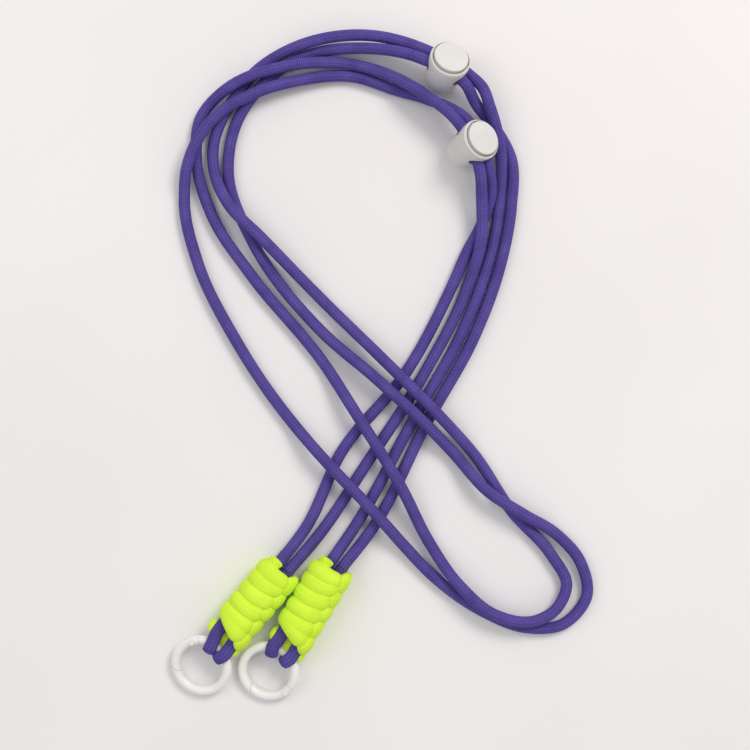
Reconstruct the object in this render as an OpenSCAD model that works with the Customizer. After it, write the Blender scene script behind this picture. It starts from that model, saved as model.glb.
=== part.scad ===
// Double-strand braided cord strap, coiled loosely and laid flat. Each end is bound with a
// cord wrapping and carries a spring-gate ring, and two push-button cord locks sit on the
// strands. Units are millimetres, +Z is up, and Z = 0 is the surface that the strap lies on.

/* [Cord] */
// Diameter of the braided cord
cord_d = 4.5; // [4:0.1:4.6]
// Diameter of the cord where a ring or a wrapping squeezes it
squeezed_cord_d = 3.8; // [3.4:0.1:3.9]

/* [Wrappings] */
// Outside diameter of a bound wrapping
wrap_d = 17.6; // [16.8:0.2:18.4]
// Length of a bound wrapping
wrap_len = 34; // [30:1:36]
// Diameter of the core that the four cord legs fill
wrap_core_d = 10.6; // [10.4:0.1:11]

/* [Rings] */
// Thickness of the ring's round section
ring_wire_d = 3.6; // [3:0.1:3.8]
// Diameter of the ring's centreline circle
ring_mid_d = 20.8; // [20.4:0.2:22]
// Diameter of the rivet that the gate turns on
rivet_d = 1.5; // [1.2:0.1:1.6]

/* [Cord locks] */
// Outside diameter of the lock barrel at its rim
barrel_d = 16; // [15.8:0.2:17]
// Outside diameter of the lock barrel at its base
base_d = 12.8; // [12.6:0.2:14]
// Length of the lock barrel
barrel_len = 15.5; // [15.5:0.5:17]
// Diameter of the bore that guides the button's head
bore_d = 13.5; // [13.2:0.1:13.6]
// Press travel of the button
press_travel = 1.5; // [1:0.1:1.8]
// How far the button stands out of the barrel
button_proud = 1.3; // [0.6:0.1:1.5]

/* [Hidden] */

$fn = 48;
eps = 0.01;

// ---- Cord routes -------------------------------------------------------------------
// Heights of a strand's centreline: on the surface, and crossing over one other strand
low = cord_d / 2 + 0.05;
high = low + cord_d + 0.1;

// From wrapping 2 up the right side, through lock 1, round the top and the lower right
// bend, round the top again, through lock 2 and down to wrapping 1
ROUTE_1 = [
    [-20, -76.5, 7.6], [-13.5, -67.5, 3], [13, -20, low], [31, 12, low], [41, 38, low],
    [46, 64, low], [46, 84, 5.6], [41.6, 99.8, 9.2], [38.8, 106.9, 9.6],
    [34, 111.6, 9.6], [16.7, 121.5, 9.6],
    [-5, 127.5, 7.8], [-29, 125, 6], [-45, 118, low], [-59.5, 101.5, low],
    [-66, 84, low], [-65.5, 76, 3.4], [-60, 63, high], [-47, 49.5, high], [-21, 23, low],
    [0, 2.5, high], [23, -20.5, high], [36, -35, low], [51, -57.5, low], [66, -74, low],
    [72, -86, 3], [67.5, -95, 5.4], [58, -99.5, high], [44, -97, high], [30, -85.5, 6.6],
    [18, -68.5, 2.6], [8, -48.5, high], [-10, -19, high], [-23, 1, low], [-51, 35, low],
    [-66, 57.5, low], [-72.5, 81, low], [-70.5, 97, low], [-58, 108.5, high],
    [-36, 116, high], [-12, 117, 4.2], [4, 112, 6], [16, 104.5, 10.6],
    [29.5, 92.8, 12.1], [37.5, 74.8, 12.1],
    [38.6, 63, 8.2], [38.5, 49, high], [33.2, 30, low], [17, -2.5, low], [-6, -38.5, low],
    [-25.5, -67.5, 3], [-37, -80.5, 7.6]];

// The same way round beside it: the outer strand of the lower right bend
ROUTE_2 = [
    [-16, -79, 7.6], [-6, -67, 3], [18, -21.5, low], [36, 11, low], [45.7, 37, low],
    [50.5, 62, low], [50.3, 81, low], [44.8, 91.5, low], [36.4, 101.3, 6.6],
    [32, 108, 11.8], [14.8, 117.9, 11.8],
    [-8, 122.6, 7.6], [-31.5, 120, low], [-45, 111, low], [-57, 94, low], [-60, 74, low],
    [-51, 49, low], [-25, 14.5, low],
    [-1.5, -6, high], [18, -24, high], [28, -34.5, 3.4], [41, -49, high], [55, -58, high],
    [68, -66, low], [77.5, -77, low], [80, -90, low], [71, -101, low], [56, -102.5, low],
    [41, -97, low], [19, -81.5, low], [10, -72, 3.2], [0, -60.5, high], [-24, -35, high],
    [-37, -20, low], [-57, 9.5, low], [-72, 40, low], [-77.2, 65, low],
    [-75.5, 77.5, 6.4], [-70.5, 89, high], [-62, 98.5, high], [-49, 105.5, high],
    [-32, 110.8, 4.6], [-12, 112.7, low], [5, 107.5, low], [17.5, 103.4, 5],
    [32.9, 94.4, 9.5], [40.9, 76.3, 9.5],
    [42.4, 67.5, 5.8], [39.5, 56.5, low], [33, 43.5, low], [27.5, 31, low], [9, -3.5, low],
    [-15.5, -33.5, low], [-30, -64, 3], [-40.5, -77.5, 7.6]];

// ---- Wrappings and bights ----------------------------------------------------------
wrap_r = wrap_d / 2;
wrap_round = 2.4;
wrap_mouth_r = 7.6;
wrap_mouth_len = 3.4;
// Centre of each wrapping, and the direction from its ring end to its strap end
WRAP_AT = [[-49.4, -91.5, wrap_r], [-26.2, -91.7, wrap_r]];
WRAP_AZ = [50, 59];

// Round of cord that a ring hangs in, the four legs' spacing in the core and their length
bight_r = 5.2;
leg_offset = 2.2;
leg_end_gap = 1.4;
// Place on the ring of each bight, right one first, in degrees from +X
BIGHT_AZ = [[28, 62], [34, 78]];

// ---- Rings -------------------------------------------------------------------------
ring_r = ring_mid_d / 2;
wire_r = ring_wire_d / 2;
ring_tilt = 16;
ring_z = wire_r + ring_r * sin(ring_tilt);
// Centre of each ring, direction of its raised side, place of its rivet, side facing up
RING_AT = [[-70.3, -116.8, ring_z], [-44.2, -119, ring_z]];
RING_AZ = [45, 56];
RIVET_AZ = [107, -50];
RING_FLIP = [180, 0];
// Round hinge end of the gate, its far end, and the gaps that part them from the ring
hinge_end_r = 2.9;
nose_r = 13.6;
split_gap = 0.15;
// The ring's tongue stands in a slot in the gate
tongue_t = 1.2;
tongue_r = 2.1;
tongue_reach = 1.9;
slot_t = 1.4;
slot_r = hinge_end_r + 0.6;
rivet_fit = 0.05;
rivet_head_d = 2.3;
rivet_head_t = 0.25;
rivet_head_gap = 0.05;
// Spring that lies in the gate behind the tongue
gate_spring_d = 1.1;
gate_spring_wire = 0.3;
gate_spring_turns = 9;
gate_spring_pitch = 0.27;
gate_spring_room_d = 1.3;
gate_spring_room_len = 3.1;
gate_spring_az = -20;
gate_spring_inset = 0.3;

// ---- Cord locks --------------------------------------------------------------------
barrel_r = barrel_d / 2;
base_r = base_d / 2;
bore_r = bore_d / 2;
running_fit = 0.07;
button_r = bore_r - running_fit;
floor_t = 1.4;
rim_round = 1.2;
base_round = 1;
// The taper ends at this height, and the rim runs straight up from there
taper_h = barrel_len - rim_round - 1;
// Wide mouth round the button, which shows as a dark line
mouth_r = bore_r + 0.6;
mouth_depth = 1.6;
// Spring's room, the stem's guide above it, and the head's bore above a ledge
spring_room_r = 4.95;
stem_r = 5.95;
guide_z = 3.6;
// Cross hole for two cords side by side, with its middle this far above the base
hole_w = 9.9;
hole_h = 4.9;
hole_z = 9.2;
ledge_z = hole_z + hole_h / 2 + 0.55;
// Underside of the button's head, clear of the ledge when the button is pressed
head_z = ledge_z + press_travel + 0.1;
web_t = 1.35;
button_edge = 0.35;
crown = 0.3;
spring_wire = 0.6;
spring_turns = 3;
spring_low_r = 4.5;
spring_high_r = 3.4;
spring_end_gap = 0.05;
// Middle of each lock's cross hole in plan, direction of the hole, and the barrel's lean
LOCK_AT = [[24.8, 114.5], [35, 84.9]];
LOCK_AZ = [-30, -66];
LOCK_LEAN = [28, 35];

// ---- Helpers -----------------------------------------------------------------------
function unit(v) = v / norm(v);
function along(p, i) = unit(p[min(i + 1, len(p) - 1)] - p[max(i - 1, 0)]);
function beside(p, i, ref) = unit(cross(ref, along(p, i)));
function above(p, i, ref) = cross(along(p, i), beside(p, i, ref));
function section(p, i, r, sides, ref) = [
    for (k = [0 : sides - 1])
        let (a = 360 * (k + 0.5) / sides)
        p[i] + r * (cos(a) * beside(p, i, ref) + sin(a) * above(p, i, ref))];

// A tube swept along a list of points, closed by a flat face at each end. No stretch of it
// runs along ref, which keeps the sections from twisting.
module tube(p, d, sides, ref = [0, 0, 1]) {
    n = len(p);
    points = [for (i = [0 : n - 1]) each section(p, i, d / 2, sides, ref)];
    walls = [
        for (i = [0 : n - 2], k = [0 : sides - 1])
            let (a = i * sides + k)
            let (b = i * sides + (k + 1) % sides)
            each [[a, b, b + sides], [a, b + sides, a + sides]]];
    first = [for (k = [sides - 1 : -1 : 0]) k];
    last = [for (k = [0 : sides - 1]) (n - 1) * sides + k];
    polyhedron(points, concat(walls, [first], [last]), convexity = 20);
}

// ---- Cord --------------------------------------------------------------------------
module cord(i) {
    color("#524296")
        tube(i == 0 ? ROUTE_1 : ROUTE_2, cord_d, 8);
}

// ---- Wrappings ---------------------------------------------------------------------
module at_wrap(i) {
    translate(WRAP_AT[i])
        rotate([0, 0, WRAP_AZ[i]])
            children();
}

// The bound sleeve, open through its core, with a wide mouth at the ring end
module wrap(i) {
    color("#C8FF28")
        at_wrap(i)
            rotate([0, 90, 0])
                difference() {
                    rotate_extrude() wrap_outline();
                    translate([0, 0, -wrap_len / 2 - eps])
                        cylinder(r1 = wrap_mouth_r, r2 = wrap_core_d / 2, h = wrap_mouth_len);
                    cylinder(d = wrap_core_d, h = wrap_len + 1, center = true);
                }
}

// Half section of the sleeve with rounded ends
module wrap_outline() {
    square_end = wrap_len / 2 - wrap_round;
    translate([0, -square_end])
        square([wrap_r, 2 * square_end]);
    translate([0, -wrap_len / 2])
        square([wrap_r - wrap_round, wrap_len]);
    for (s = [-1, 1])
        translate([wrap_r - wrap_round, s * square_end])
            circle(r = wrap_round);
}

// Where the ring's centreline passes a bight, at the height of the raised side
function on_ring(i, az) =
    let (swing = az - RING_AZ[i])
    let (reach = ring_r * cos(swing))
    let (aside = ring_r * sin(swing))
    [RING_AT[i][0] + reach * cos(ring_tilt) * cos(RING_AZ[i]) - aside * sin(RING_AZ[i]),
     RING_AT[i][1] + reach * cos(ring_tilt) * sin(RING_AZ[i]) + aside * cos(RING_AZ[i]),
     RING_AT[i][2] + reach * sin(ring_tilt)];

// A point in wrapping i: along its axis from the middle, to its left and up
function in_wrap(i, along_axis, left, up) =
    [WRAP_AT[i][0] + along_axis * cos(WRAP_AZ[i]) - left * sin(WRAP_AZ[i]),
     WRAP_AT[i][1] + along_axis * sin(WRAP_AZ[i]) + left * cos(WRAP_AZ[i]),
     WRAP_AT[i][2] + up];

// From one leg's end, out of the core, round the ring from above to below, and back in
function bight_path(i, side) =
    let (c = on_ring(i, BIGHT_AZ[i][side > 0 ? 1 : 0]))
    let (out = [-cos(RING_AZ[i]), -sin(RING_AZ[i]), 0])
    let (entry = -wrap_len / 2 + wrap_mouth_len)
    let (exit = wrap_len / 2 - leg_end_gap)
    let (left = side * leg_offset)
    [in_wrap(i, exit, left, leg_offset),
     in_wrap(i, entry, left, leg_offset),
     for (a = [90 : -30 : -90]) c + bight_r * (cos(a) * out + [0, 0, sin(a)]),
     in_wrap(i, entry, left, -leg_offset),
     in_wrap(i, exit, left, -leg_offset)];

// A loop of cord round the ring, with both legs running into the wrapping's core.
// Side -1 is the right one and 1 the left one, seen from the ring.
module bight(i, side) {
    color("#4A3B8C")
        tube(bight_path(i, side), squeezed_cord_d, 8, [-sin(RING_AZ[i]), cos(RING_AZ[i]), 0]);
}

// ---- Rings -------------------------------------------------------------------------
// Puts a ring drawn flat, with its rivet on +X, where ring i lies
module at_ring(i) {
    translate(RING_AT[i])
        rotate([0, 0, RING_AZ[i]])
            rotate([0, -ring_tilt, 0])
                rotate([0, 0, RIVET_AZ[i] - RING_AZ[i]])
                    rotate([RING_FLIP[i], 0, 0])
                        children();
}

module hoop() {
    rotate_extrude()
        translate([ring_r, 0])
            circle(r = wire_r);
}

// The stretch of the hoop that the gate takes, from its hinge end to its nose
module gate_zone(grow) {
    translate([ring_r, 0, 0])
        cylinder(r = hinge_end_r + grow, h = ring_wire_d + 1, center = true);
    intersection() {
        translate([ring_r, 0, 0])
            cylinder(r = nose_r + grow, h = ring_wire_d + 1, center = true);
        translate([-ring_r, -2 * ring_r, -ring_wire_d])
            cube([3 * ring_r, 2 * ring_r, 2 * ring_wire_d]);
    }
}

// Ring with its gap, and the tongue that reaches into the gate
module ring_body(i) {
    color("#EDEDEA")
        at_ring(i)
            difference() {
                union() {
                    difference() {
                        hoop();
                        gate_zone(split_gap);
                    }
                    intersection() {
                        hoop();
                        translate([ring_r, 0, 0]) tongue();
                    }
                }
                translate([ring_r, 0, 0])
                    cylinder(d = rivet_d, h = ring_wire_d, center = true);
            }
}

// Flat tongue round the rivet, joined to the ring behind the hinge end
module tongue() {
    cylinder(r = tongue_r, h = tongue_t, center = true);
    translate([-tongue_r, 0, -tongue_t / 2])
        cube([2 * tongue_r, hinge_end_r + tongue_reach, tongue_t]);
}

// The gate, slotted for the tongue and drilled for the rivet and the spring
module ring_gate(i) {
    color("#E4E4E0")
        at_ring(i)
            difference() {
                intersection() {
                    hoop();
                    gate_zone(0);
                }
                translate([ring_r, 0, 0]) {
                    cylinder(r = slot_r, h = slot_t, center = true);
                    cylinder(d = rivet_d + 2 * rivet_fit, h = 2 * ring_wire_d, center = true);
                }
                gate_spring_seat()
                    cylinder(d = gate_spring_room_d, h = gate_spring_room_len);
            }
}

// The spring's seat starts behind the tongue and runs on inside the gate
module gate_spring_seat() {
    rotate([0, 0, gate_spring_az])
        translate([ring_r - gate_spring_inset, 0, 0])
            rotate([90, 0, 0])
                children();
}

module ring_rivet(i) {
    color("#C9CACC")
        at_ring(i)
            translate([ring_r, 0, 0]) {
                cylinder(d = rivet_d, h = ring_wire_d + 2 * rivet_head_gap + eps, center = true);
                for (s = [-1, 1])
                    translate([0, 0, s * (wire_r + rivet_head_gap + rivet_head_t / 2)])
                        cylinder(d = rivet_head_d, h = rivet_head_t, center = true);
            }
}

// Close-wound turns, each a small round of wire
module ring_spring(i) {
    color("#9A9CA0")
        at_ring(i)
            gate_spring_seat()
                for (k = [0 : gate_spring_turns - 1])
                    translate([0, 0, gate_spring_wire + k * gate_spring_pitch])
                        rotate_extrude()
                            translate([(gate_spring_d - gate_spring_wire) / 2, 0])
                                circle(d = gate_spring_wire);
}

// ---- Cord locks --------------------------------------------------------------------
// Puts a lock drawn upright on its base, with its cross hole along X, where lock i leans.
// The rounded edge of its base touches the surface.
module at_lock(i) {
    lean = LOCK_LEAN[i];
    toward = LOCK_AZ[i] + 90;
    base_z = (base_r - base_round) * sin(lean) + base_round * (1 - cos(lean));
    translate([LOCK_AT[i][0] - hole_z * sin(lean) * cos(toward),
               LOCK_AT[i][1] - hole_z * sin(lean) * sin(toward), base_z])
        rotate([0, 0, LOCK_AZ[i]])
            rotate([-lean, 0, 0])
                children();
}

// The cross hole's outline, with round ends
module cord_hole() {
    square([hole_w - hole_h, hole_h], center = true);
    for (s = [-1, 1])
        translate([s * (hole_w - hole_h) / 2, 0])
            circle(d = hole_h);
}

// The button's taller hole, which leaves the cords free over the whole travel
module tall_cord_hole() {
    square([hole_w, press_travel], center = true);
    for (t = [-1, 1])
        translate([0, t * press_travel / 2])
            cord_hole();
}

// Puts an outline drawn flat upright, and drives it through the lock along its cross hole
module across(z) {
    translate([0, 0, z])
        rotate([90, 0, 90])
            linear_extrude(2 * barrel_d, center = true)
                children();
}

// Half section of the barrel: tapered wall, closed base, stepped bore and rounded rim
module barrel_outline() {
    difference() {
        union() {
            polygon([[0, 0], [base_r - base_round, 0], [base_r, base_round], [barrel_r, taper_h],
                     [barrel_r, barrel_len - rim_round], [barrel_r - rim_round, barrel_len],
                     [0, barrel_len]]);
            translate([base_r - base_round, base_round])
                circle(r = base_round);
            translate([barrel_r - rim_round, barrel_len - rim_round])
                circle(r = rim_round);
        }
        translate([-1, floor_t])
            square([spring_room_r + 1, barrel_len]);
        translate([-1, guide_z])
            square([stem_r + running_fit + 1, barrel_len]);
        translate([-1, ledge_z])
            square([bore_r + 1, barrel_len]);
        translate([-1, barrel_len - mouth_depth])
            square([mouth_r + 1, barrel_len]);
    }
}

module lock_barrel(i) {
    color("#F1F1EE")
        at_lock(i)
            difference() {
                rotate_extrude() barrel_outline();
                across(hole_z) cord_hole();
            }
}

// The button: head, a stem with the cord hole through it, and a web that the spring pushes on
module lock_button(i) {
    bottom = hole_z - hole_h / 2 - web_t;
    top = barrel_len + button_proud;
    color("#F7F7F4")
        at_lock(i)
            difference() {
                rotate_extrude() button_outline(bottom, top);
                across(hole_z + press_travel / 2) tall_cord_hole();
            }
}

// Half section of the button, with a rounded edge and a slightly raised middle
module button_outline(bottom, top) {
    shoulder = top - crown;
    translate([0, bottom])
        square([stem_r, shoulder - bottom]);
    translate([0, head_z])
        square([button_r, shoulder - button_edge - head_z]);
    translate([0, head_z])
        square([button_r - button_edge, shoulder - head_z]);
    translate([button_r - button_edge, shoulder - button_edge])
        circle(r = button_edge);
    intersection() {
        crown_r = (pow(button_r - button_edge, 2) + pow(crown, 2)) / (2 * crown);
        translate([0, top - crown_r])
            circle(r = crown_r, $fn = 96);
        translate([0, shoulder - 2 * eps])
            square([button_r - button_edge, 2 * crown]);
    }
}

// A tapering coil between the barrel's floor and the button's web
module lock_spring(i) {
    z0 = floor_t + spring_wire / 2 + spring_end_gap;
    z1 = hole_z - hole_h / 2 - web_t - spring_wire / 2 - spring_end_gap;
    steps = 12 * spring_turns;
    coil = [
        for (k = [0 : steps])
            let (t = k / steps)
            let (a = 360 * spring_turns * t)
            let (r = spring_low_r + t * (spring_high_r - spring_low_r))
            [r * cos(a), r * sin(a), z0 + t * (z1 - z0)]];
    color("#B9BBBE")
        at_lock(i)
            tube(coil, spring_wire, 6);
}

cord(0);  // cord_1
cord(1);  // cord_2
wrap(0);  // wrap_1
wrap(1);  // wrap_2
bight(0, 1);  // bight_1_left
bight(0, -1);  // bight_1_right
bight(1, 1);  // bight_2_left
bight(1, -1);  // bight_2_right
ring_body(0);  // ring_1_body
ring_gate(0);  // ring_1_gate
ring_rivet(0);  // ring_1_rivet
ring_spring(0);  // ring_1_spring
ring_body(1);  // ring_2_body
ring_gate(1);  // ring_2_gate
ring_rivet(1);  // ring_2_rivet
ring_spring(1);  // ring_2_spring
lock_barrel(0);  // lock_1_barrel
lock_button(0);  // lock_1_button
lock_spring(0);  // lock_1_spring
lock_barrel(1);  // lock_2_barrel
lock_button(1);  // lock_2_button
lock_spring(1);  // lock_2_spring
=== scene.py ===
"""Builds a braided cord strap with cord locks and gate rings, lying on a pale table."""

import logging
import math
from dataclasses import dataclass
from enum import Enum
from typing import Callable, ClassVar, Sequence

import bpy
import numpy as np
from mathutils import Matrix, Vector

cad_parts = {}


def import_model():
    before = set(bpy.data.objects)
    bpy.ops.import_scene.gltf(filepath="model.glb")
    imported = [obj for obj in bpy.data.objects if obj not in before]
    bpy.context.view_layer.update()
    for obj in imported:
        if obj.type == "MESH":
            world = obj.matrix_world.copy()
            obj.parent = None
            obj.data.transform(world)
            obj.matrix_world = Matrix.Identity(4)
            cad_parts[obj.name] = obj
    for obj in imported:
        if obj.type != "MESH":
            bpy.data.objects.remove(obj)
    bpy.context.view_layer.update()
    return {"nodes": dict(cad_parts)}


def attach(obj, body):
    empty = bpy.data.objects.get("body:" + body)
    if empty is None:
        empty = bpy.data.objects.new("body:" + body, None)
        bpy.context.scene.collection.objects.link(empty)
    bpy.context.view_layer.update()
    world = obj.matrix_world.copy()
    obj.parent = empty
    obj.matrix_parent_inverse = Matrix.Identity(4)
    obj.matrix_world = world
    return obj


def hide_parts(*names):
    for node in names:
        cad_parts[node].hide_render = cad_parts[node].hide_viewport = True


LOG = logging.getLogger("strap")
MM = 0.001
Point = tuple[float, float, float]
Value = float | bpy.types.NodeSocket


# ---- Colour and node helpers ---------------------------------------------------------


def linear(code: str) -> tuple[float, float, float, float]:
    """Turns an sRGB hex code into a linear colour with alpha 1."""
    values = [int(code[i : i + 2], 16) / 255 for i in (1, 3, 5)]
    return tuple(
        [v / 12.92 if v <= 0.04045 else ((v + 0.055) / 1.055) ** 2.4 for v in values] + [1.0]
    )


def node(
    tree: bpy.types.NodeTree, kind: str, inputs: dict | None = None, **settings: object
) -> bpy.types.Node:
    """Adds a node with its settings and its inputs.

    Args:
        tree: The node tree to add to.
        kind: The node's type name.
        inputs: Socket name or number to a constant, or to another node's output to link.
        settings: Attributes to set on the node.

    Returns:
        The new node.
    """
    made = tree.nodes.new(kind)
    for name, value in settings.items():
        setattr(made, name, value)
    for name, value in (inputs or {}).items():
        if isinstance(value, bpy.types.NodeSocket):
            tree.links.new(value, made.inputs[name])
        else:
            made.inputs[name].default_value = value
    return made


def math_node(
    tree: bpy.types.NodeTree, operation: str, a: Value, b: Value = 0.0, c: Value = 0.0
) -> bpy.types.NodeSocket:
    """One Math node's output; a, b and c are numbers or sockets."""
    return node(tree, "ShaderNodeMath", {0: a, 1: b, 2: c}, operation=operation).outputs[0]


def ramp(
    tree: bpy.types.NodeTree, fac: bpy.types.NodeSocket, stops: Sequence[tuple[float, str]]
) -> bpy.types.NodeSocket:
    """A colour ramp through (place, hex) stops; returns its colour output."""
    made = node(tree, "ShaderNodeValToRGB", {"Fac": fac})
    elements = made.color_ramp.elements
    while len(elements) < len(stops):
        elements.new(0.5)
    for element, (place, code) in zip(elements, stops):
        element.position = place
        element.color = linear(code)
    return made.outputs["Color"]


def noise(tree: bpy.types.NodeTree, size: float, detail: float) -> bpy.types.NodeSocket:
    """Noise with patches of that size in mm, in the object's own coordinates."""
    where = node(tree, "ShaderNodeTexCoord").outputs["Object"]
    made = node(tree, "ShaderNodeTexNoise", {"Vector": where, "Scale": 1 / (size * MM), "Detail": detail})
    return made.outputs["Fac"]


def blank(name: str) -> tuple[bpy.types.Material, bpy.types.NodeTree, bpy.types.Node]:
    """A new node material, with its tree and its shader."""
    material = bpy.data.materials.new(name)
    material.use_nodes = True
    return material, material.node_tree, material.node_tree.nodes["Principled BSDF"]


# ---- Materials -----------------------------------------------------------------------


@dataclass(frozen=True)
class BraidedPolyester:
    """Round braid of textured polyester yarn.

    The yarns cross in a herringbone, so the eye reads short slanting stitches in columns
    that run along the cord. Their tones are painted light: painted shade in the gaps
    between stitches and in the creases between columns, painted highlight on the crests.
    The yarn is matt, with a soft sheen where it turns away. Sizes are in mm. The fuzz of
    single filaments is too fine to show, so it is drawn as coarse as half a stitch.
    """

    name: str
    gap_shade: str
    body: str
    crest_highlight: str
    stitch: float = 0.8
    columns: int = 10
    slant: float = 0.55
    contrast: float = 0.26
    relief: float = 0.1
    middle_tone: float = 0.62
    crease_sharpness: float = 6.0
    drift: float = 6.667
    fuzz: float = 0.3846
    unevenness: float = 0.5
    fuzz_height: float = 0.3
    bump_strength: float = 0.8
    roughness: float = 0.8
    specular: float = 0.2
    sheen: float = 0.25
    sheen_roughness: float = 0.5

    def build(self) -> bpy.types.Material:
        """Makes the material. It reads a UV map with turns around in U and mm along in V."""
        material, tree, shader = blank(self.name)
        braid = node(tree, "ShaderNodeUVMap", uv_map="Braid").outputs[0]
        place = node(tree, "ShaderNodeSeparateXYZ", {0: braid})
        column = math_node(tree, "MULTIPLY", place.outputs[0], self.columns)
        zigzag = math_node(tree, "PINGPONG", column, 1.0)
        phase = math_node(tree, "MULTIPLY_ADD", place.outputs[1], 1 / self.stitch, 0.0)
        phase = math_node(tree, "MULTIPLY_ADD", zigzag, self.slant, phase)
        wave = math_node(tree, "SINE", math_node(tree, "MULTIPLY", phase, math.tau))
        # Painted shade: the tone darkens along the creases between the columns
        edge = math_node(tree, "ABSOLUTE", math_node(tree, "MULTIPLY_ADD", zigzag, 2.0, -1.0))
        crease_shade = math_node(tree, "POWER", edge, self.crease_sharpness)
        yarn = math_node(tree, "MULTIPLY_ADD", wave, self.contrast, self.middle_tone)
        yarn = math_node(tree, "MULTIPLY_ADD", crease_shade, -self.contrast, yarn)
        fuzz = noise(tree, self.fuzz, 2.0)
        tone = yarn
        for cloud in (noise(tree, self.drift, 3.0), fuzz):
            uneven = math_node(tree, "MULTIPLY_ADD", cloud, self.unevenness, -self.unevenness / 2)
            tone = math_node(tree, "ADD", tone, uneven)
        # Painted shade in the gaps between stitches, painted highlight on their crests
        colour = ramp(tree, tone, [(0.0, self.gap_shade), (0.6, self.body), (1.0, self.crest_highlight)])
        tree.links.new(colour, shader.inputs["Base Color"])
        height = math_node(tree, "MULTIPLY_ADD", fuzz, self.fuzz_height, yarn)
        relief = {"Height": height, "Strength": self.bump_strength, "Distance": self.relief * MM}
        tree.links.new(node(tree, "ShaderNodeBump", relief).outputs[0], shader.inputs["Normal"])
        shader.inputs["Roughness"].default_value = self.roughness
        shader.inputs["Specular IOR Level"].default_value = self.specular
        shader.inputs["Sheen Weight"].default_value = self.sheen
        shader.inputs["Sheen Roughness"].default_value = self.sheen_roughness
        shader.inputs["Sheen Tint"].default_value = linear(self.crest_highlight)
        return material


@dataclass(frozen=True)
class MouldedWhite:
    """White surface with a very fine even texture.

    For moulded acetal it is the spark-eroded grain of the tool, which spreads highlights
    into a soft patch. For a powder-coated ring it is the coating's slight orange peel.
    Sizes are in mm. Tool grain is about 0.1 mm, too fine to show, so it is drawn coarser.
    """

    name: str
    pale: str
    shade: str
    grain: float
    depth: float
    roughness: float
    cloud: float = 11.11
    bump_strength: float = 0.35
    roughness_spread: float = 0.12
    ior: float = 1.48

    def build(self) -> bpy.types.Material:
        """Makes the material at the scale of the object's own coordinates, in metres."""
        material, tree, shader = blank(self.name)
        grain = noise(tree, self.grain, 2.0)
        colour = ramp(tree, noise(tree, self.cloud, 2.0), [(0.3, self.shade), (0.7, self.pale)])
        tree.links.new(colour, shader.inputs["Base Color"])
        lowest = self.roughness - self.roughness_spread / 2
        rough = math_node(tree, "MULTIPLY_ADD", grain, self.roughness_spread, lowest)
        tree.links.new(rough, shader.inputs["Roughness"])
        relief = {"Height": grain, "Strength": self.bump_strength, "Distance": self.depth * MM}
        tree.links.new(node(tree, "ShaderNodeBump", relief).outputs[0], shader.inputs["Normal"])
        shader.inputs["IOR"].default_value = self.ior
        return material


@dataclass(frozen=True)
class DrawnSteel:
    """Drawn spring steel: a plain grey metal with fine scratches from the die.

    The scratches are too fine to show, so they are drawn as coarse as the wire. Sizes are
    in mm.
    """

    name: str
    pale: str = "#C9CACC"
    dark: str = "#8E9094"
    scratch: float = 0.5556
    roughness: float = 0.32
    roughness_spread: float = 0.2

    def build(self) -> bpy.types.Material:
        """Makes the material, fully metallic."""
        material, tree, shader = blank(self.name)
        scratch = noise(tree, self.scratch, 3.0)
        colour = ramp(tree, scratch, [(0.25, self.dark), (0.75, self.pale)])
        tree.links.new(colour, shader.inputs["Base Color"])
        lowest = self.roughness - self.roughness_spread / 2
        rough = math_node(tree, "MULTIPLY_ADD", scratch, self.roughness_spread, lowest)
        tree.links.new(rough, shader.inputs["Roughness"])
        shader.inputs["Metallic"].default_value = 1.0
        return material


@dataclass(frozen=True)
class MattBoard:
    """Matt white board with the faint cloudiness of a coated sheet. Sizes are in mm."""

    name: str = "Matt white board"
    pale: str = "#EDEBEA"
    shade: str = "#E7E5E4"
    cloud: float = 166.67
    roughness: float = 0.7

    def build(self) -> bpy.types.Material:
        """Makes the material."""
        material, tree, shader = blank(self.name)
        colour = ramp(tree, noise(tree, self.cloud, 2.0), [(0.3, self.shade), (0.7, self.pale)])
        tree.links.new(colour, shader.inputs["Base Color"])
        shader.inputs["Roughness"].default_value = self.roughness
        return material


class Finish(Enum):
    """The finishes of the strap and of what it lies on."""

    # Each braid's first colour paints shade into its gaps and its last paints highlight on its crests
    CORD = BraidedPolyester("Purple braided polyester", "#2B2160", "#4E428C", "#6C5DB0")
    BINDING = BraidedPolyester(
        "Lime braided polyester",
        "#A4D414",
        "#D2F43C",
        "#E6FF60",
        stitch=0.6,
        columns=14,
        contrast=0.14,
        relief=0.04,
        sheen=0.1,
    )
    LOCK = MouldedWhite(
        "White moulded acetal", "#D9D8D5", "#D2D1CE", grain=0.35, depth=0.02, roughness=0.5
    )
    RING = MouldedWhite(
        "White powder-coated zinc", "#F2F1EE", "#E9E8E5", grain=0.9, depth=0.03, roughness=0.3
    )
    STEEL = DrawnSteel("Drawn steel")
    BOARD = MattBoard()


class Palette:
    """Makes each finish once and hands it out."""

    def __init__(self) -> None:
        """Starts with no material made."""
        self._made: dict[Finish, bpy.types.Material] = {}

    def get(self, finish: Finish) -> bpy.types.Material:
        """The material of that finish."""
        if finish not in self._made:
            self._made[finish] = finish.value.build()
        return self._made[finish]


# ---- Curves --------------------------------------------------------------------------


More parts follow.
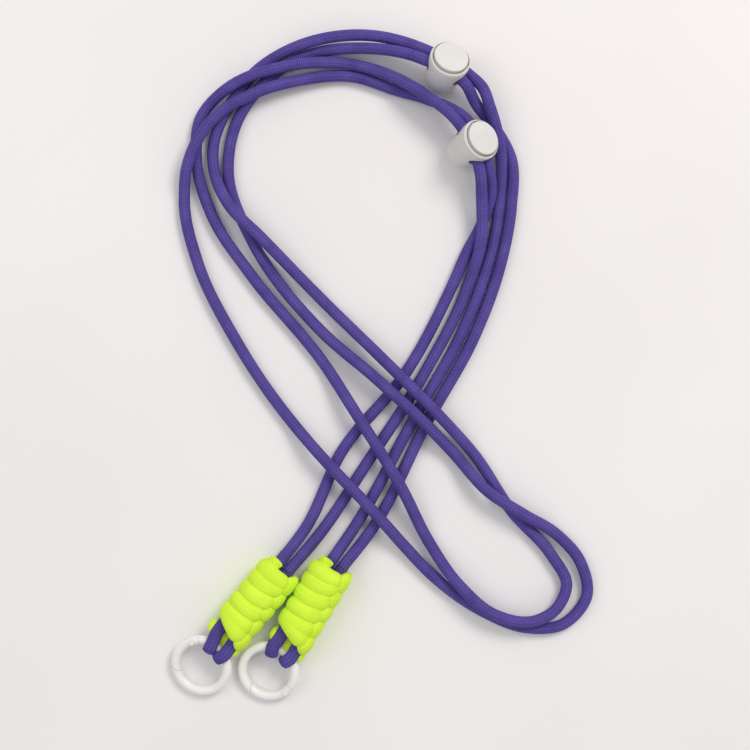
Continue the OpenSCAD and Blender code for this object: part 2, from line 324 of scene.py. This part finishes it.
def smooth_line(points: Sequence[Point], step: float) -> np.ndarray:
    """One smooth curve through route points, at even steps.

    The plan follows a parabola-blended spline, and the height a monotone one, so that the
    cord never dips below its supports between two points.

    Args:
        points: Route points, in metres.
        step: Distance between the curve's points, in metres.

    Returns:
        An array of points, one row each.
    """
    p = np.array(points, float)
    gaps = np.linalg.norm(np.diff(p[:, :2], axis=0), axis=1)
    t = np.concatenate([[0], np.cumsum(gaps)])
    slope = np.diff(p, axis=0) / gaps[:, None]
    tangent = np.empty_like(p)
    tangent[0], tangent[-1] = slope[0], slope[-1]
    left, right = gaps[:-1, None], gaps[1:, None]
    tangent[1:-1] = (right * slope[:-1] + left * slope[1:]) / (left + right)
    for i in range(1, len(p) - 1):
        before, after = slope[i - 1, 2], slope[i, 2]
        w1, w2 = 2 * gaps[i] + gaps[i - 1], gaps[i] + 2 * gaps[i - 1]
        tangent[i, 2] = (w1 + w2) / (w1 / before + w2 / after) if before * after > 0 else 0.0
    fine = np.linspace(0, t[-1], int(t[-1] / (step / 4)))
    k = np.clip(np.searchsorted(t, fine) - 1, 0, len(t) - 2)
    h = gaps[k][:, None]
    s = ((fine - t[k]) / gaps[k])[:, None]
    line = (
        (2 * s**3 - 3 * s**2 + 1) * p[k]
        + (s**3 - 2 * s**2 + s) * h * tangent[k]
        + (3 * s**2 - 2 * s**3) * p[k + 1]
        + (s**3 - s**2) * h * tangent[k + 1]
    )
    return even_line(line, step)


def even_line(line: np.ndarray, step: float) -> np.ndarray:
    """The same line with points at even steps of its length."""
    run = np.concatenate([[0], np.cumsum(np.linalg.norm(np.diff(line, axis=0), axis=1))])
    count = max(2, round(run[-1] / step) + 1)
    at = np.linspace(0, run[-1], count)
    return np.stack([np.interp(at, run, line[:, axis]) for axis in range(3)], axis=1)


@dataclass
class Sweep:
    """A closed tube along a line, with a UV map for the braid.

    The section is an ellipse whose half-sizes may change along the line.
    """

    name: str
    line: np.ndarray
    wide: np.ndarray
    thick: np.ndarray
    up: np.ndarray
    sides: int = 20
    closed: bool = False
    wrinkle: Callable[[float, float], float] | None = None

    def build(self) -> bpy.types.Object:
        """Makes the mesh object.

        Returns:
            The tube, smooth-shaded, with the map "Braid": turns in U and mm along in V.
        """
        n = len(self.line)
        ahead = np.roll(self.line, -1, axis=0) - np.roll(self.line, 1, axis=0)
        if not self.closed:
            ahead[0] = self.line[1] - self.line[0]
            ahead[-1] = self.line[-1] - self.line[-2]
        ahead /= np.linalg.norm(ahead, axis=1)[:, None]
        side = np.cross(self.up, ahead)
        side /= np.linalg.norm(side, axis=1)[:, None]
        top = np.cross(ahead, side)
        run = np.concatenate([[0], np.cumsum(np.linalg.norm(np.diff(self.line, axis=0), axis=1))]) / MM
        verts: list[tuple[float, float, float]] = []
        for i in range(n):
            for k in range(self.sides):
                turn = k / self.sides
                swell = 1 + (self.wrinkle(run[i], turn) if self.wrinkle else 0.0)
                a = math.tau * turn
                offset = self.wide[i] * math.cos(a) * side[i]
                offset = offset + self.thick[i] * math.sin(a) * top[i]
                verts.append(tuple(self.line[i] + swell * offset))
        faces, uvs = [], []
        stretches = n if self.closed else n - 1
        for i in range(stretches):
            j = (i + 1) % n
            far = run[i] + (run[1] - run[0]) if j == 0 else run[j]
            for k in range(self.sides):
                m = (k + 1) % self.sides
                near, next_on = i * self.sides, j * self.sides
                faces.append((near + k, near + m, next_on + m, next_on + k))
                u0, u1 = k / self.sides, (k + 1) / self.sides
                uvs += [(u0, run[i]), (u1, run[i]), (u1, far), (u0, far)]
        if not self.closed:
            for i, order in ((0, range(self.sides - 1, -1, -1)), (n - 1, range(self.sides))):
                faces.append(tuple(i * self.sides + k for k in order))
                uvs += [(k / self.sides, run[i]) for k in order]
        mesh = bpy.data.meshes.new(self.name)
        mesh.from_pydata(verts, [], faces)
        layer = mesh.uv_layers.new(name="Braid")
        layer.data.foreach_set("uv", np.array(uvs, np.float32).ravel())
        mesh.polygons.foreach_set("use_smooth", [True] * len(faces))
        mesh.update()
        made = bpy.data.objects.new(self.name, mesh)
        bpy.context.scene.collection.objects.link(made)
        return made


# ---- Routes, as in the part's source, in metres --------------------------------------

CORD_D = 4.5 * MM
LOW = CORD_D / 2 + 0.05 * MM
HIGH = LOW + CORD_D + 0.1 * MM

ROUTE_1: list[Point] = [
    (-0.020, -0.0765, 0.0076), (-0.0135, -0.0675, 0.003), (0.013, -0.020, LOW), (0.031, 0.012, LOW),
    (0.041, 0.038, LOW), (0.046, 0.064, LOW), (0.046, 0.084, 0.0056), (0.0416, 0.0998, 0.0092),
    (0.0388, 0.1069, 0.0096), (0.034, 0.1116, 0.0096), (0.0167, 0.1215, 0.0096),
    (-0.005, 0.1275, 0.0078), (-0.029, 0.125, 0.006), (-0.045, 0.118, LOW), (-0.0595, 0.1015, LOW),
    (-0.066, 0.084, LOW), (-0.0655, 0.076, 0.0034), (-0.060, 0.063, HIGH), (-0.047, 0.0495, HIGH),
    (-0.021, 0.023, LOW), (0.0, 0.0025, HIGH), (0.023, -0.0205, HIGH), (0.036, -0.035, LOW),
    (0.051, -0.0575, LOW), (0.066, -0.074, LOW), (0.072, -0.086, 0.003), (0.0675, -0.095, 0.0054),
    (0.058, -0.0995, HIGH), (0.044, -0.097, HIGH), (0.030, -0.0855, 0.0066), (0.018, -0.0685, 0.0026),
    (0.008, -0.0485, HIGH), (-0.010, -0.019, HIGH), (-0.023, 0.001, LOW), (-0.051, 0.035, LOW),
    (-0.066, 0.0575, LOW), (-0.0725, 0.081, LOW), (-0.0705, 0.097, LOW), (-0.058, 0.1085, HIGH),
    (-0.036, 0.116, HIGH), (-0.012, 0.117, 0.0042), (0.004, 0.112, 0.006), (0.016, 0.1045, 0.0106),
    (0.0295, 0.0928, 0.0121), (0.0375, 0.0748, 0.0121), (0.0386, 0.063, 0.0082), (0.0385, 0.049, HIGH),
    (0.0332, 0.030, LOW), (0.017, -0.0025, LOW), (-0.006, -0.0385, LOW), (-0.0255, -0.0675, 0.003),
    (-0.037, -0.0805, 0.0076),
]

ROUTE_2: list[Point] = [
    (-0.016, -0.079, 0.0076), (-0.006, -0.067, 0.003), (0.018, -0.0215, LOW), (0.036, 0.011, LOW),
    (0.0457, 0.037, LOW), (0.0505, 0.062, LOW), (0.0503, 0.081, LOW), (0.0448, 0.0915, LOW),
    (0.0364, 0.1013, 0.0066), (0.032, 0.108, 0.0118), (0.0148, 0.1179, 0.0118),
    (-0.008, 0.1226, 0.0076), (-0.0315, 0.120, LOW), (-0.045, 0.111, LOW), (-0.057, 0.094, LOW),
    (-0.060, 0.074, LOW), (-0.051, 0.049, LOW), (-0.025, 0.0145, LOW), (-0.0015, -0.006, HIGH),
    (0.018, -0.024, HIGH), (0.028, -0.0345, 0.0034), (0.041, -0.049, HIGH), (0.055, -0.058, HIGH),
    (0.068, -0.066, LOW), (0.0775, -0.077, LOW), (0.080, -0.090, LOW), (0.071, -0.101, LOW),
    (0.056, -0.1025, LOW), (0.041, -0.097, LOW), (0.019, -0.0815, LOW), (0.010, -0.072, 0.0032),
    (0.0, -0.0605, HIGH), (-0.024, -0.035, HIGH), (-0.037, -0.020, LOW), (-0.057, 0.0095, LOW),
    (-0.072, 0.040, LOW), (-0.0772, 0.065, LOW), (-0.0755, 0.0775, 0.0064), (-0.0705, 0.089, HIGH),
    (-0.062, 0.0985, HIGH), (-0.049, 0.1055, HIGH), (-0.032, 0.1108, 0.0046), (-0.012, 0.1127, LOW),
    (0.005, 0.1075, LOW), (0.0175, 0.1034, 0.005), (0.0329, 0.0944, 0.0095), (0.0409, 0.0763, 0.0095),
    (0.0424, 0.0675, 0.0058), (0.0395, 0.0565, LOW), (0.033, 0.0435, LOW), (0.0275, 0.031, LOW),
    (0.009, -0.0035, LOW), (-0.0155, -0.0335, LOW), (-0.030, -0.064, 0.003), (-0.0405, -0.0775, 0.0076),
]

# ---- Sub-assemblies ------------------------------------------------------------------


@dataclass
class Strand:
    """One of the strap's two free cords."""

    name: str
    cad_node: str
    route: list[Point]
    diameter: float = CORD_D
    ring_step: float = 0.9 * MM
    sides: int = 20

    def build(self, palette: Palette) -> bpy.types.Object:
        """Args:
            palette: Where the finishes come from.

        Returns:
            The strand, riding on the strap.
        """
        line = smooth_line(self.route, self.ring_step)
        radius = np.full(len(line), self.diameter / 2)
        up = np.tile([0.0, 0.0, 1.0], (len(line), 1))
        cord = Sweep(self.name, line, radius, radius, up, self.sides, wrinkle=self.softness).build()
        cord.data.materials.append(palette.get(Finish.CORD))
        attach(cord, "strap")
        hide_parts(self.cad_node)
        return cord

    @staticmethod
    def softness(run: float, turn: float) -> float:
        """Unevenness of a hollow braid, which flattens a little and turns as it goes.

        Args:
            run: Distance along the cord, in mm.
            turn: Place around it, from 0 to 1.

        Returns:
            The swelling as a share of the radius.
        """
        most, wave, drift, twist = 0.012, 9.0, 31.0, 40.0
        slow = math.sin(run / wave + 2.1 * math.sin(run / drift))
        return most * slow * math.cos(2 * math.tau * turn + run / twist)


@dataclass
class Binding:
    """The flattened cord that is bound round a wrapping's core.

    Each turn lies level across the left of the top, then climbs to the right, where it is
    pinched as it tucks under the next. The turn at the ring end slants the other way, next
    to one that passes under the bights. The melted end of the cord shows at the strap end.

    Places round the core are in degrees from the top, with the left at 90. The climbs, steps
    and slants are distances along the axis.
    """

    index: int
    middle: np.ndarray
    azimuth: float
    length: float = 36.0 * MM
    turns: int = 6
    core: float = 6.3 * MM
    half_wide: float = 3.75 * MM
    half_thick: float = 2.5 * MM
    climbs: tuple[float, ...] = (1.9 * MM, 3.2 * MM, 4.0 * MM, 5.0 * MM)
    climb_at: float = -33.0
    climb_width: float = 14.0
    last_climb: float = 0.2 * MM
    last_back: float = 1.2 * MM
    end_slant: float = 2.7 * MM
    end_step: float = 3.3 * MM
    tuck_at: float = -42.0
    tuck_width: float = 9.0
    tuck_depth: float = 0.9 * MM
    tuck_narrowing: float = 0.24
    tuck_thinning: float = 0.1
    spread: float = 0.3
    spread_at: float = -85.0
    spread_width: float = 28.0
    behind_step: float = 3.6 * MM
    behind_slant: float = 1.2 * MM
    behind_low: float = 1.5 * MM
    behind_share: float = 0.85
    # The left half of the turn under the bights: to the left and up, in shares of the core
    behind_half: tuple[tuple[float, float], ...] = ((0.5, -0.85), (0.95, -0.5), (1.0, 0.05), (0.5, -0.14))
    lining_r: float = 6.4 * MM
    lining_half: float = 11.5 * MM
    cut_at: float = 42.0
    cut_length: float = 6.3 * MM
    cut_sink: float = 0.7 * MM
    cut_half_wide: float = 2.9 * MM
    cut_half_thick: float = 1.7 * MM
    cut_blunt_from: float = 0.8
    cut_steps: int = 24
    sides: int = 28

    def frame(self) -> tuple[np.ndarray, np.ndarray, np.ndarray]:
        """The axis towards the strap end, the direction to its left, and up."""
        a = math.radians(self.azimuth)
        return (
            np.array([math.cos(a), math.sin(a), 0.0]),
            np.array([-math.sin(a), math.cos(a), 0.0]),
            np.array([0.0, 0.0, 1.0]),
        )

    def build(self, palette: Palette) -> bpy.types.Object:
        """Builds the turns and the cord's end and joins them into one piece.

        Args:
            palette: Where the finishes come from.

        Returns:
            The binding, riding on the strap.
        """
        pitch = (self.length - 2 * self.half_wide) / (self.turns - 1)
        first = -self.length / 2 + self.half_wide
        last = first + (self.turns - 1) * pitch - self.last_back
        degrees = self.around()[0]
        sideways = np.sin(np.radians(degrees))
        parts = [self.turn(0, first + self.end_step + self.end_slant * sideways)]
        for k in range(1, self.turns - 1):
            parts.append(self.turn(k, first + k * pitch + self.climbs[k - 1] * self.risen(degrees)))
        parts.append(self.turn(self.turns - 1, last + self.last_climb * self.risen(degrees)))
        parts += [self.lining(), self.behind_bights(first - self.behind_step), self.melted_end(last)]
        piece = join(parts, f"wrap_{self.index}_binding")
        piece.data.materials.append(palette.get(Finish.BINDING))
        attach(piece, "strap")
        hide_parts(f"wrap_{self.index}")
        LOG.info("binding %d: %d turns", self.index, self.turns)
        return piece

    def around(self, steps: int = 108) -> tuple[np.ndarray, np.ndarray]:
        """Goes once round the core, from the left by the top.

        Args:
            steps: How many places to stop at.

        Returns:
            The places in degrees, and the outward direction at each.
        """
        _, left, up = self.frame()
        degrees = np.linspace(90, -270, steps, endpoint=False)
        angle = np.radians(degrees)
        return degrees, np.cos(angle)[:, None] * up + np.sin(angle)[:, None] * left

    def risen(self, degrees: np.ndarray) -> np.ndarray:
        """How far a turn has climbed, from 0 at the left to 1 at the right, and back below."""
        over = 1 / (1 + np.exp((degrees - self.climb_at) / self.climb_width))
        under = (1 + np.cos(np.pi * (-90 - degrees) / 180)) / 2
        return np.where(degrees > -90, over, under)

    def turn(self, k: int, places: np.ndarray) -> bpy.types.Object:
        """One turn of the binding cord.

        Args:
            k: Its number, counted from the ring end.
            places: Its place along the axis at each step round the core.

        Returns:
            The turn as a closed tube.
        """
        axis = self.frame()[0]
        degrees, out = self.around()
        tuck = np.exp(-(((degrees - self.tuck_at) / self.tuck_width) ** 2))
        radius = self.core - self.tuck_depth * tuck
        line = self.middle + places[:, None] * axis + radius[:, None] * out
        spread = 1 + self.spread * np.exp(-(((degrees - self.spread_at) / self.spread_width) ** 2))
        uneven = 1 + 0.03 * math.sin(2.3 * k)
        wide = self.half_wide * (1 - self.tuck_narrowing * tuck) * spread * uneven
        thick = self.half_thick * (1 - self.tuck_thinning * tuck)
        return Sweep(
            f"turn_{self.index}_{k}",
            line,
            wide,
            thick,
            out,
            self.sides,
            closed=True,
            wrinkle=lambda run, turn: 0.02 * math.sin(run / 2.1 + k) * math.sin(math.tau * turn * 3),
        ).build()

    def lining(self) -> bpy.types.Object:
        """The inner sides of the turns, pressed together where two of them part."""
        axis, _, up = self.frame()
        line = self.middle + np.linspace(-self.lining_half, self.lining_half, 12)[:, None] * axis
        radius = np.full(12, self.lining_r)
        return Sweep(f"lining_{self.index}", line, radius, radius, np.tile(up, (12, 1)), sides=40).build()

    def behind_bights(self, start: float) -> bpy.types.Object:
        """The turn at the ring end, which passes under the upper legs of the two bights.

        Args:
            start: Its place along the axis, at the middle.

        Returns:
            The turn's upper part, as an open tube.
        """
        axis, left, up = self.frame()
        middle = (0.0, -self.behind_low / self.core)
        right_half = [(-aside, high) for aside, high in reversed(self.behind_half)]
        points = []
        for aside, high in (*self.behind_half, middle, *right_half):
            place = start + self.behind_slant * aside
            points.append(self.middle + place * axis + self.core * (aside * left + high * up))
        line = even_line(round_line(np.array(points)), 0.5 * MM)
        normal = np.cross(np.gradient(line, axis=0), axis)
        normal /= np.linalg.norm(normal, axis=1)[:, None]
        wide = np.full(len(line), self.behind_share * self.half_wide)
        thick = np.full(len(line), self.behind_share * self.half_thick)
        return Sweep(f"back_turn_{self.index}", line, wide, thick, normal, sides=24).build()

    def melted_end(self, start: float) -> bpy.types.Object:
        """The end of the binding cord, cut and melted, tucked under the last turn.

        Args:
            start: Its place along the axis, inside the last turn.

        Returns:
            The end as a short tube with a blunt, crumpled tip.
        """
        axis, left, up = self.frame()
        a = math.radians(self.cut_at)
        out = math.cos(a) * up + math.sin(a) * left
        share = np.linspace(0, 1, self.cut_steps)
        run = (start + self.cut_length * share)[:, None]
        line = self.middle + run * axis + (self.core - self.cut_sink) * out
        tip = ((share - self.cut_blunt_from) / (1 - self.cut_blunt_from)).clip(0, 1)
        blunt = np.sqrt(np.clip(1 - tip**4, 0.02, 1))
        return Sweep(
            f"cut_end_{self.index}",
            line,
            self.cut_half_wide * blunt,
            self.cut_half_thick * blunt,
            np.tile(out, (self.cut_steps, 1)),
            self.sides,
            wrinkle=self.crumple,
        ).build()

    @staticmethod
    def crumple(run: float, turn: float) -> float:
        """Six folds round the melted tip, which fade out within 5 mm behind it."""
        most, folds, fade = 0.16, 6, 5.0
        return most * math.sin(folds * math.tau * turn + run) * min(1.0, (run / fade) ** 6)


@dataclass
class Bight:
    """A round of the strap's cord that a ring hangs in, pulled flat over the wire.

    Its plane is square to the wire. The upper leg runs through the binding and on into its
    strand, and the lower one stays inside.
    """

    name: str
    centre: np.ndarray
    outward: np.ndarray
    upper_leg: np.ndarray
    lower_leg: np.ndarray
    radius: float = 3.2 * MM
    half_wide: float = 2.55 * MM
    half_thick: float = 1.2 * MM
    round_r: float = 2.3 * MM
    round_length: float = 5.0 * MM
    flat_after: float = 14.0 * MM
    step: float = 0.5 * MM
    sides: int = 28

    def build(self, palette: Palette) -> bpy.types.Object:
        """Sweeps the loop from one leg, over and round the wire, to the other leg.

        Args:
            palette: Where the finishes come from.

        Returns:
            The loop, riding on the strap.
        """
        up = np.array([0.0, 0.0, 1.0])
        arc = [
            self.centre + self.radius * (-math.cos(a) * self.outward + math.sin(a) * up)
            for a in np.radians(np.arange(105, -106, -15))
        ]
        points = np.array([*self.upper_leg, *arc, *self.lower_leg])
        line = even_line(round_line(points), self.step)
        ahead = np.gradient(line, axis=0)
        normal = np.cross(ahead, np.cross(up, self.outward))
        normal /= np.linalg.norm(normal, axis=1)[:, None]
        run = self.step * np.arange(len(line))
        wide = np.interp(run, [0, self.flat_after], [self.round_r, self.half_wide])
        thick = np.interp(
            run, [0, self.round_length, self.flat_after], [self.round_r, self.round_r, self.half_thick]
        )
        loop = Sweep(f"{self.name}_cord", line, wide, thick, normal, self.sides).build()
        loop.data.materials.append(palette.get(Finish.CORD))
        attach(loop, "strap")
        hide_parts(self.name)
        LOG.info("%s", self.name)
        return loop


def round_line(points: np.ndarray, times: int = 4) -> np.ndarray:
    """Rounds a coarse line by cutting its corners.

    Args:
        points: The coarse line.
        times: How often the corners are cut.

    Returns:
        A smooth line with the same two ends.
    """
    line = points
    for _ in range(times):
        early = 0.75 * line[:-1] + 0.25 * line[1:]
        late = 0.25 * line[:-1] + 0.75 * line[1:]
        middle = np.stack([early, late], axis=1).reshape(-1, 3)
        line = np.concatenate([line[:1], middle, line[-1:]])
    return line


def join(parts: list[bpy.types.Object], name: str) -> bpy.types.Object:
    """Joins mesh objects into one.

    Args:
        parts: The objects, which the first of them takes in.
        name: What the joined object is called.

    Returns:
        The joined object.
    """
    bpy.ops.object.select_all(action="DESELECT")
    for part in parts:
        part.select_set(True)
    bpy.context.view_layer.objects.active = parts[0]
    bpy.ops.object.join()
    parts[0].name = name
    return parts[0]


@dataclass
class Hardware:
    """The rings and the cord locks, which keep their CAD shapes and get their finishes."""

    nodes: dict[str, bpy.types.Object]

    FINISHES: ClassVar[dict[str, Finish]] = {
        "body": Finish.RING,
        "gate": Finish.RING,
        "rivet": Finish.RING,
        "spring": Finish.STEEL,
        "barrel": Finish.LOCK,
        "button": Finish.LOCK,
    }

    def dress(self, palette: Palette) -> None:
        """Gives each CAD node of the rings and locks its finish.

        Args:
            palette: Where the finishes come from.
        """
        for name, part in self.nodes.items():
            finish = self.FINISHES.get(name.rsplit("_", 1)[-1])
            if finish is None:
                continue
            part.data.materials.clear()
            part.data.materials.append(palette.get(finish))
            LOG.info("%s: %s", name, finish.name)


@dataclass(frozen=True)
class SoftLamp:
    """A round studio lamp that points at the strap."""

    name: str
    at: Point
    size: float
    power: float
    colour: str

    def build(self) -> None:
        """Hangs the lamp."""
        data = bpy.data.lights.new(self.name, "AREA")
        data.shape = "DISK"
        data.size = self.size
        data.energy = self.power
        data.color = linear(self.colour)[:3]
        lamp = bpy.data.objects.new(self.name, data)
        bpy.context.scene.collection.objects.link(lamp)
        lamp.location = self.at
        lamp.rotation_euler = (-Vector(self.at)).to_track_quat("-Z", "Y").to_euler()


@dataclass
class Table:
    """The pale board under the strap, the lamps and the camera."""

    size: float = 3.0
    key: SoftLamp = SoftLamp("key", (0.75, 0.85, 1.25), 0.7, 13.5, "#FFF8F4")
    fill: SoftLamp = SoftLamp("fill", (-0.9, 0.3, 1.3), 1.2, 4.0, "#F4F6FF")
    room_colour: str = "#F6F5F4"
    room_light: float = 0.67
    camera_at: Point = (-2.73 * MM, -3.91 * MM, 600 * MM)
    lens: float = 73.45
    sensor: float = 36.0
    clip_start: float = 10 * MM

    def build(self, palette: Palette) -> None:
        """Lays the board and sets the lamps and the camera.

        Args:
            palette: Where the finishes come from.
        """
        scene = bpy.context.scene
        bpy.ops.mesh.primitive_plane_add(size=self.size)
        board = bpy.context.object
        board.name = "table"
        board.data.materials.append(palette.get(Finish.BOARD))
        self.key.build()
        self.fill.build()
        scene.world = bpy.data.worlds.new("Studio")
        scene.world.use_nodes = True
        room = scene.world.node_tree.nodes["Background"]
        room.inputs["Color"].default_value = linear(self.room_colour)
        room.inputs["Strength"].default_value = self.room_light
        scene.view_settings.view_transform = "Standard"
        data = bpy.data.cameras.new("camera")
        data.lens = self.lens
        data.sensor_width = self.sensor
        data.clip_start = self.clip_start
        camera = bpy.data.objects.new("camera", data)
        scene.collection.objects.link(camera)
        camera.location = self.camera_at
        scene.camera = camera
        LOG.info("table, lamps and camera")


@dataclass
class RingEnd:
    """One end of the strap: the binding, and the two bights that carry its ring.

    The ring lies tilted, with one side on the table. Its raised side faces the binding.
    """

    binding: Binding
    ring_at: tuple[float, float]
    facing: float
    bights: dict[str, float]
    strands: dict[str, list[Point]]
    ring_r: float = 10.4 * MM
    wire_r: float = 1.8 * MM
    tilt: float = 16.0
    leg_aside: float = 3.8 * MM
    leg_apart: float = 1.9 * MM
    leg_inside: float = 9.0 * MM
    leg_joined: float = 0.3

    def build(self, palette: Palette) -> None:
        """Builds the binding, then the left and the right bight.

        Args:
            palette: Where the finishes come from.
        """
        self.binding.build(palette)
        for side, azimuth in self.bights.items():
            self.bight(side, math.radians(azimuth)).build(palette)

    def bight(self, side: str, azimuth: float) -> Bight:
        """Places a bight on the ring's wire.

        Args:
            side: "left" or "right", seen from the ring.
            azimuth: Direction from the ring's centre to the bight, in radians.

        Returns:
            The bight, ready to build.
        """
        axis, left, up = self.binding.frame()
        facing, tilt = math.radians(self.facing), math.radians(self.tilt)
        toward = np.array([math.cos(facing), math.sin(facing), 0.0])
        across = np.array([-math.sin(facing), math.cos(facing), 0.0])
        reach = self.ring_r * math.cos(azimuth - facing)
        aside = self.ring_r * math.sin(azimuth - facing)
        ring = np.array([*self.ring_at, self.wire_r + self.ring_r * math.sin(tilt)])
        centre = ring + reach * (math.cos(tilt) * toward + math.sin(tilt) * up) + aside * across
        outward = np.array([math.cos(azimuth), math.sin(azimuth), 0.0])
        turned = 1 if side == "left" else -1
        mouth = self.binding.middle - self.binding.length / 2 * axis + turned * self.leg_aside * left
        rise = self.leg_apart * up
        end, beyond = (np.array(point) for point in self.strands[side])
        joined = end + self.leg_joined * (beyond - end)
        upper = np.array([joined, end, mouth + self.leg_inside * axis + rise, mouth + rise])
        lower = np.array([mouth - rise, mouth + self.leg_inside * axis - rise])
        return Bight(f"bight_{self.binding.index}_{side}", centre, outward, upper, lower)


def main() -> None:
    """Builds the strap piece by piece."""
    logging.basicConfig(level=logging.INFO, format="%(message)s")
    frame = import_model()
    palette = Palette()
    Table().build(palette)
    Strand("cord_1_braid", "cord_1", ROUTE_1).build(palette)
    Strand("cord_2_braid", "cord_2", ROUTE_2).build(palette)
    RingEnd(
        Binding(1, np.array([-49.4, -91.8, 8.8]) * MM, azimuth=50.0),
        ring_at=(-70.3 * MM, -116.8 * MM),
        facing=45.0,
        bights={"left": 62.0, "right": 28.0},
        strands={"left": ROUTE_2[:-3:-1], "right": ROUTE_1[:-3:-1]},
    ).build(palette)
    RingEnd(
        Binding(2, np.array([-27.4, -92.7, 8.8]) * MM, azimuth=59.0),
        ring_at=(-44.2 * MM, -119.0 * MM),
        facing=56.0,
        bights={"left": 78.0, "right": 34.0},
        strands={"left": ROUTE_1[:2], "right": ROUTE_2[:2]},
    ).build(palette)
    Hardware(frame["nodes"]).dress(palette)


if __name__ == "__main__":
    main()
